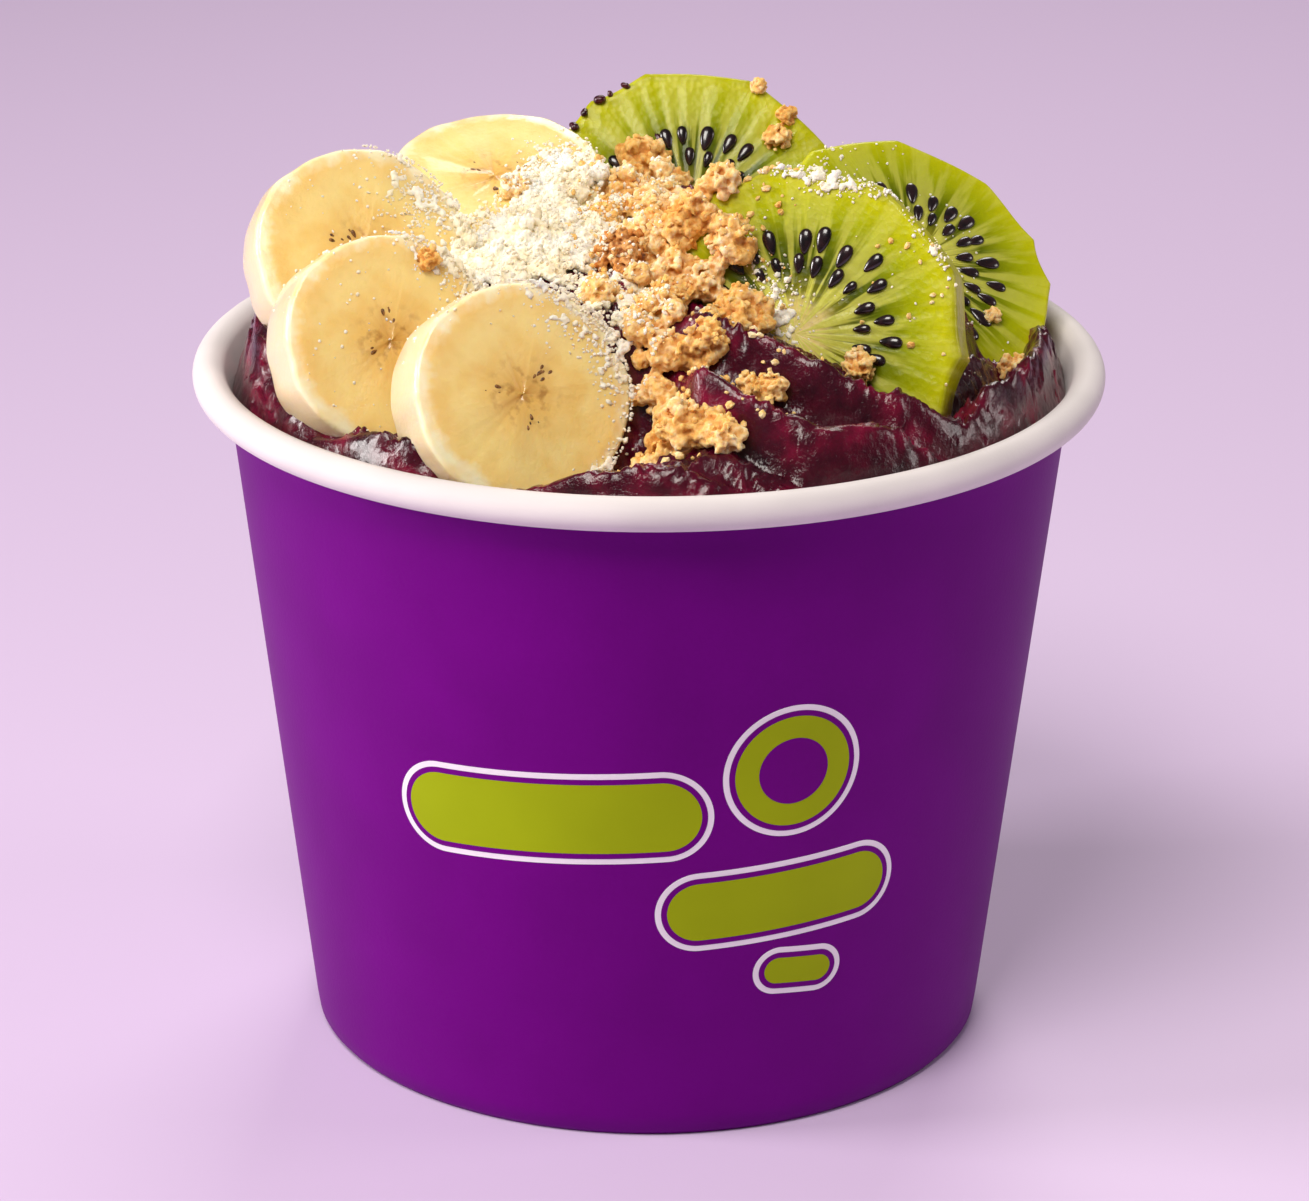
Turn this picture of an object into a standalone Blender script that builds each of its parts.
"""Acai bowl: a paper tub heaped with frozen acai, banana, kiwi, milk powder and crumble.

Metres, +Z up, origin at the middle of the foot, so the tub stands on z = 0. The serving side
faces -Y. Every slice, heap and crumb is its own closed solid, and pieces that touch keep GAP
between them.
"""

import math

import bmesh
import bpy
from mathutils import Matrix, Vector

GAP = 0.0003

# The paper tub
RIM_RADIUS = 0.058
TUB_HEIGHT = 0.0898
ROLL_RADIUS = 0.00212
FOOT_RADIUS = 0.04345
NECK_RADIUS = 0.05356
NECK_HEIGHT = 0.0855
PAPER = 0.0006
FOLD_HEIGHT = 0.0062
BASE_HEIGHT = 0.0075
TURNS = 44
ROLL_POINTS = 9
ROLL_SWEEP = math.radians(310)
WALL_SLOPE = (NECK_RADIUS - FOOT_RADIUS) / NECK_HEIGHT

# The frozen filling: a low ring at the wall, a dome, and a peak behind the fruit
FILL_EDGE = 0.0868
DOME_HEIGHT = 0.0175
PEAK_HEIGHT = 0.0125
PEAK_PLACE = (0.002, 0.0385)
PEAK_WIDTH = 0.0105
FILL_RINGS = 11
FILL_TURNS = 46

# Folds left by the scoop: start angle, end angle (degrees), start and end radius, width, height
FOLDS = (
    (-82, 8, 0.031, 0.0505, 0.0036, 0.0042),
    (-100, -48, 0.0425, 0.0495, 0.0030, 0.0022),
    (150, 196, 0.0470, 0.0490, 0.0040, 0.0050),
)
# The hollow in which the banana slices stand
HOLLOW_ANGLES = (200, 268)
HOLLOW_RADIUS = 0.043
HOLLOW_WIDTH = 0.0062
HOLLOW_DEPTH = 0.0055

# Slices: centre of the upper cut face, azimuth and tilt of its normal, radius, thickness.
# Azimuth runs from -Y towards +X, and tilt runs up from the horizon (degrees).
BANANAS = {
    "banana_1": ((-0.0150, -0.0370, 0.0962), 25, 28, 0.0138, 0.0095),
    "banana_2": ((-0.0315, -0.0240, 0.0986), 24, 28, 0.0134, 0.0090),
    "banana_3": ((-0.0356, -0.0078, 0.1049), 21, 34, 0.0138, 0.0078),
    "banana_4": ((-0.0200, 0.0162, 0.1080), -6, 70, 0.0139, 0.0070),
}
KIWIS = {
    "kiwi_1": ((0.0052, 0.0262, 0.0992), 1, 34, 0.0207, 0.0055),
    "kiwi_2": ((0.0338, 0.0040, 0.1004), 37, 50, 0.0196, 0.0060),
    "kiwi_3": ((0.0180, -0.0220, 0.0990), -16, 24, 0.0208, 0.0062),
}
BANANA_SIDES = 30
BANANA_CORNERS = 5
BANANA_CORNER_DEPTH = 0.014
KIWI_SIDES = 40
KIWI_FACETS = 11
EDGE_ROUND = 0.0007

# Heaps: middle on the filling, half length, half width, turn (degrees), height
CRUMBLE_HEAP = ((0.0045, -0.0045), 0.0245, 0.0112, 98, 0.0062)
CRUMBLE_FRONT = ((0.0015, -0.0400), 0.0085, 0.0062, 125, 0.0056)
POWDER_HEAP = ((-0.0130, -0.0045), 0.0165, 0.0105, 80, 0.0046)
HEAP_SINK = 0.0035
HEAP_TURNS = 24
HEAP_RINGS = 11
HEAP_SWELL = 0.05
CLUSTER = 0.0024
DRIFT = 0.0040

# Larger crumbs that lie alone: place on the filling and radius
CRUMBS = {
    "crumb_1": ((0.0148, -0.0345), 0.0028),
    "crumb_2": ((0.0262, -0.0318), 0.0019),
    "crumb_3": ((0.0462, -0.0085), 0.0024),
}
CRUMB_LUMP = 0.14

PURPLE_PAPER = (0.155, 0.004, 0.235)
WHITE_PAPER = (0.82, 0.80, 0.80)
ACAI = (0.045, 0.006, 0.014)
BANANA = (0.84, 0.66, 0.32)
KIWI = (0.30, 0.46, 0.05)
CRUMBLE = (0.60, 0.31, 0.11)
MILK_POWDER = (0.86, 0.76, 0.58)


def clear_scene():
    """Remove whatever the scene holds."""
    for thing in list(bpy.context.scene.objects):
        bpy.data.objects.remove(thing)


def new_collection(name):
    """Add a collection to the scene."""
    collection = bpy.data.collections.new(name)
    bpy.context.scene.collection.children.link(collection)
    return collection


def new_material(name, colour, roughness):
    """Make a Principled material with one colour and roughness."""
    material = bpy.data.materials.new(name)
    material.use_nodes = True
    shader = material.node_tree.nodes["Principled BSDF"]
    shader.inputs["Base Color"].default_value = (*colour, 1.0)
    shader.inputs["Roughness"].default_value = roughness
    return material


def add_object(name, mesh, collection, material=None):
    """Add a mesh object to a collection."""
    thing = bpy.data.objects.new(name, mesh)
    collection.objects.link(thing)
    if material:
        mesh.materials.append(material)
    return thing


def mesh_from(bm, name):
    """Turn a bmesh into a mesh that is shaded smooth between sharp edges."""
    mesh = bpy.data.meshes.new(name)
    bm.to_mesh(mesh)
    bm.free()
    mesh.shade_smooth()
    mesh.set_sharp_from_angle(angle=math.radians(40))
    return mesh


def profile_mesh(name, points):
    """Make a line of edges in the XZ plane from (radius, height) points."""
    bm = bmesh.new()
    verts = [bm.verts.new((radius, 0.0, height)) for radius, height in points]
    for first, second in zip(verts, verts[1:]):
        bm.edges.new((first, second))
    mesh = bpy.data.meshes.new(name)
    bm.to_mesh(mesh)
    bm.free()
    return mesh


def add_screw(thing, turns):
    """Turn a profile about Z."""
    screw = thing.modifiers.new("turn", "SCREW")
    screw.steps = turns
    screw.render_steps = turns
    screw.use_merge_vertices = True
    screw.merge_threshold = 0.00001
    screw.use_smooth_shade = True
    return screw


def add_paper(thing):
    """Give an open turned surface the thickness of the board."""
    solidify = thing.modifiers.new("paper", "SOLIDIFY")
    solidify.thickness = PAPER
    solidify.offset = 0.0
    solidify.use_even_offset = True
    solidify.use_rim = True


def evaluated_mesh(thing, name):
    """Return a new mesh of what the object's modifiers make."""
    bpy.context.view_layer.update()
    graph = bpy.context.evaluated_depsgraph_get()
    mesh = bpy.data.meshes.new_from_object(thing.evaluated_get(graph))
    mesh.name = name
    return mesh


def wall_radius(height):
    """Return the outer radius of the cone at a height."""
    return FOOT_RADIUS + WALL_SLOPE * height


def roll_points():
    """Return the rim's roll, from the wall over the top and round outwards."""
    centre_radius = RIM_RADIUS - ROLL_RADIUS
    centre_height = TUB_HEIGHT - ROLL_RADIUS
    middle = ROLL_RADIUS - PAPER / 2
    points = []
    for step in range(ROLL_POINTS + 1):
        angle = math.pi - ROLL_SWEEP * step / ROLL_POINTS
        radius = centre_radius + middle * math.cos(angle)
        points.append((radius, centre_height + middle * math.sin(angle)))
    return points


def wall_points():
    """Return the wall's middle line: the fold inside the foot, the cone and the rim's roll."""
    fold_inset = 2 * PAPER + 2 * GAP
    outer = PAPER / 2
    low = PAPER / 2
    fold = []
    for height in (FOLD_HEIGHT, low):
        fold.append((wall_radius(height) - outer - fold_inset, height))
    cone = []
    for height in (low, NECK_HEIGHT * 0.5, NECK_HEIGHT):
        cone.append((wall_radius(height) - outer, height))
    return fold + cone + roll_points()


def base_points():
    """Return the base's middle line: a disc with its edge turned down between wall and fold."""
    skirt = PAPER * 1.5 + GAP
    top = BASE_HEIGHT - PAPER / 2
    bottom = PAPER + GAP + PAPER / 2
    corner = wall_radius(top) - skirt
    bend = 0.0012
    return [
        (0.0, top),
        (corner - bend, top),
        (corner - bend * 0.3, top - bend * 0.3),
        (corner - WALL_SLOPE * bend, top - bend),
        (wall_radius(bottom) - skirt, bottom),
    ]


def make_tub(parts, paper, inside):
    """Make the side wall and the base."""
    wall = add_object("cup_wall", profile_mesh("cup_wall", wall_points()), parts, paper)
    add_screw(wall, TURNS)
    add_paper(wall)
    base = add_object("cup_base", profile_mesh("cup_base", base_points()), parts, inside)
    add_screw(base, TURNS)
    add_paper(base)


def smooth_step(low, high, value):
    """Ease from 0 at low to 1 at high."""
    share = min(max((value - low) / (high - low), 0.0), 1.0)
    return share * share * (3 - 2 * share)


def along_arc(angle, start, end):
    """Return how far an angle is along an arc, 0 to 1, and how strongly it counts."""
    turn = (angle - start) % 360
    if turn > (360 + end - start) / 2:
        turn -= 360
    share = turn / (end - start)
    weight = smooth_step(-0.12, 0.14, share) * (1 - smooth_step(0.86, 1.12, share))
    return min(max(share, 0.0), 1.0), weight


def fold_height(radius, angle, fold):
    """Return the height that one fold adds at a place."""
    start, end, radius_0, radius_1, width, height = fold
    share, weight = along_arc(angle, start, end)
    middle = radius_0 + (radius_1 - radius_0) * share
    return weight * height * math.exp(-(((radius - middle) / width) ** 2))


def filling_height(x, y):
    """Return the height of the filling's upper surface."""
    radius = math.hypot(x, y)
    angle = math.degrees(math.atan2(y, x))
    share = min(radius / wall_radius(FILL_EDGE), 1.0)
    height = FILL_EDGE + DOME_HEIGHT * (1 - share**2.6)
    peak = math.hypot(x - PEAK_PLACE[0], y - PEAK_PLACE[1]) / PEAK_WIDTH
    height += PEAK_HEIGHT * math.exp(-(peak**2))
    for fold in FOLDS:
        height += fold_height(radius, angle, fold)
    weight = along_arc(angle, *HOLLOW_ANGLES)[1]
    dip = math.exp(-(((radius - HOLLOW_RADIUS) / HOLLOW_WIDTH) ** 2))
    return height - weight * HOLLOW_DEPTH * dip


def filling_points():
    """Return the filling's outline from the top of the dome down to the base."""
    inset = PAPER + GAP
    edge = wall_radius(FILL_EDGE) - inset
    points = []
    for ring in range(FILL_RINGS + 1):
        points.append((edge * math.sin(math.pi / 2 * ring / FILL_RINGS), FILL_EDGE))
    floor = BASE_HEIGHT + GAP
    points.append((wall_radius(floor) - inset, floor))
    points.append((0.0, floor))
    return points


def filling_mesh():
    """Turn the filling and raise its flat top into the heaped, folded surface."""
    guide = add_object("filling_guide", profile_mesh("filling_guide", filling_points()),
                       bpy.context.scene.collection)
    add_screw(guide, FILL_TURNS)
    mesh = evaluated_mesh(guide, "filling")
    bpy.data.objects.remove(guide)
    bm = bmesh.new()
    bm.from_mesh(mesh)
    for vert in bm.verts:
        if vert.co.z > FILL_EDGE - GAP:
            vert.co.z = filling_height(vert.co.x, vert.co.y)
    bmesh.ops.triangulate(bm, faces=bm.faces)
    bm.to_mesh(mesh)
    bm.free()
    return mesh


def banana_outline(angle):
    """Return a banana slice's relative radius: a soft five-sided round."""
    return 1 + BANANA_CORNER_DEPTH * math.cos(BANANA_CORNERS * angle) + 0.012 * math.cos(2 * angle)


def kiwi_outline(angle):
    """Return a kiwi slice's relative radius: straight cuts left by the peeling knife."""
    step = 2 * math.pi / KIWI_FACETS
    wobble = 0.22 * math.sin(3 * angle) + 0.12 * math.sin(5 * angle + 1)
    away = (angle + wobble * step) % step - step / 2
    return math.cos(step / 2) / math.cos(away) * 1.012


def slice_mesh(name, radius, thickness, sides, outline, margin=0.0):
    """Make a slice whose upper face lies at z = 0, grown by a margin on every side."""
    bm = bmesh.new()
    depth = thickness + 2 * margin
    bmesh.ops.create_cone(bm, cap_ends=True, segments=sides, radius1=1.0, radius2=1.0, depth=depth)
    for vert in bm.verts:
        angle = math.atan2(vert.co.y, vert.co.x)
        reach = radius * outline(angle) + margin
        vert.co.x *= reach
        vert.co.y *= reach
        vert.co.z -= thickness / 2
    return mesh_from(bm, name)


def slice_pose(place, azimuth, tilt):
    """Return the matrix that turns +Z to the face's direction and puts the slice in place."""
    lean = Matrix.Rotation(math.radians(90 - tilt), 4, "X")
    turn = Matrix.Rotation(math.radians(azimuth), 4, "Z")
    return Matrix.Translation(Vector(place)) @ turn @ lean


def make_slices(table, sides, outline, parts, cutters, material):
    """Make the slices of one fruit and the cutters that make room for them."""
    made = []
    for name, (place, azimuth, tilt, radius, thickness) in table.items():
        pose = slice_pose(place, azimuth, tilt)
        mesh = slice_mesh(name, radius, thickness, sides, outline)
        piece = add_object(name, mesh, parts, material)
        piece.matrix_world = pose
        bevel = piece.modifiers.new("soft_edge", "BEVEL")
        bevel.width = EDGE_ROUND
        bevel.segments = 2
        bevel.limit_method = "ANGLE"
        bevel.angle_limit = math.radians(50)
        room = slice_mesh("room_" + name, radius, thickness, sides, outline, GAP)
        made.append(add_cutter(room, cutters, pose))
    return made


def add_cutter(mesh, cutters, pose=Matrix.Identity(4)):
    """Add a hidden tool for a Boolean."""
    cutter = add_object(mesh.name, mesh, cutters)
    cutter.matrix_world = pose
    cutter.hide_render = True
    cutter.display_type = "WIRE"
    return cutter


def cut(thing, cutters):
    """Cut every cutter out of a solid."""
    for cutter in cutters:
        boolean = thing.modifiers.new("cut_" + cutter.name, "BOOLEAN")
        boolean.operation = "DIFFERENCE"
        boolean.solver = "EXACT"
        boolean.object = cutter


def lumps(x, y, size):
    """Return a bumpy figure between -1 and 1 for a heap of clusters."""
    wave = math.sin(x / size + 1.3 * math.sin(y / size)) * math.cos(y / size * 1.1 + 0.7)
    return wave * 0.7 + 0.3 * math.sin((x - y) / size * 1.9 + 2)


def heap_mesh(name, heap, lump_size, margin=0.0):
    """Make a lumpy heap that follows the filling and sinks a little into it."""
    (middle_x, middle_y), half_length, half_width, turn, height = heap
    bm = bmesh.new()
    bmesh.ops.create_uvsphere(bm, u_segments=HEAP_TURNS, v_segments=HEAP_RINGS, radius=1.0)
    spin = Matrix.Rotation(math.radians(turn), 2)
    for vert in bm.verts:
        swell = 1 + HEAP_SWELL * math.sin(3 * math.atan2(vert.co.y, vert.co.x) + turn)
        flat = Vector((vert.co.x * (half_length * swell + margin),
                       vert.co.y * (half_width * swell + margin)))
        flat = spin @ flat
        x = middle_x + flat.x
        y = middle_y + flat.y
        lift = vert.co.z * HEAP_SINK
        if vert.co.z > 0:
            lift = vert.co.z * (height * (1 + 0.22 * lumps(x, y, lump_size)) + margin)
        vert.co = (x, y, filling_height(x, y) + lift)
    bmesh.ops.triangulate(bm, faces=bm.faces)
    return mesh_from(bm, name)


def crumb_mesh(name, place, radius):
    """Make one rough cluster that sits on the filling."""
    bm = bmesh.new()
    bmesh.ops.create_icosphere(bm, subdivisions=2, radius=radius)
    lift = filling_height(*place) + radius * 0.55
    for vert in bm.verts:
        grow = 1 + CRUMB_LUMP * lumps(vert.co.x + place[0], vert.co.y + vert.co.z, radius * 0.45)
        vert.co = vert.co * grow
        vert.co.z *= 0.85
        vert.co += Vector((*place, lift))
    return mesh_from(bm, name)


def main():
    """Build the whole bowl."""
    clear_scene()
    parts = new_collection("acai_bowl")
    cutters = new_collection("cutters")
    paper = new_material("printed_paper", PURPLE_PAPER, 0.45)
    inside = new_material("coated_paper", WHITE_PAPER, 0.4)
    acai = new_material("acai", ACAI, 0.25)
    banana = new_material("banana", BANANA, 0.4)
    kiwi = new_material("kiwi", KIWI, 0.3)
    crumble = new_material("crumble", CRUMBLE, 0.8)
    powder = new_material("milk_powder", MILK_POWDER, 0.9)

    make_tub(parts, paper, inside)
    rooms = make_slices(BANANAS, BANANA_SIDES, banana_outline, parts, cutters, banana)
    rooms += make_slices(KIWIS, KIWI_SIDES, kiwi_outline, parts, cutters, kiwi)

    filling = add_object("acai", filling_mesh(), parts, acai)
    cut(filling, rooms)
    raised = filling_mesh()
    raised.name = "filling_room"
    filling_room = add_cutter(raised, cutters, Matrix.Translation((0, 0, GAP)))

    heap = add_object("crumble_heap", heap_mesh("crumble_heap", CRUMBLE_HEAP, CLUSTER), parts, crumble)
    cut(heap, [filling_room] + rooms)
    front = add_object("crumble_front", heap_mesh("crumble_front", CRUMBLE_FRONT, CLUSTER),
                       parts, crumble)
    cut(front, [filling_room] + rooms)
    heap_room = add_cutter(heap_mesh("room_crumble_heap", CRUMBLE_HEAP, CLUSTER, 2 * GAP), cutters)
    drift = add_object("powder_heap", heap_mesh("powder_heap", POWDER_HEAP, DRIFT), parts, powder)
    cut(drift, [filling_room, heap_room] + rooms)

    for name, (place, radius) in CRUMBS.items():
        crumb = add_object(name, crumb_mesh(name, place, radius), parts, crumble)
        cut(crumb, [filling_room] + rooms)


main()
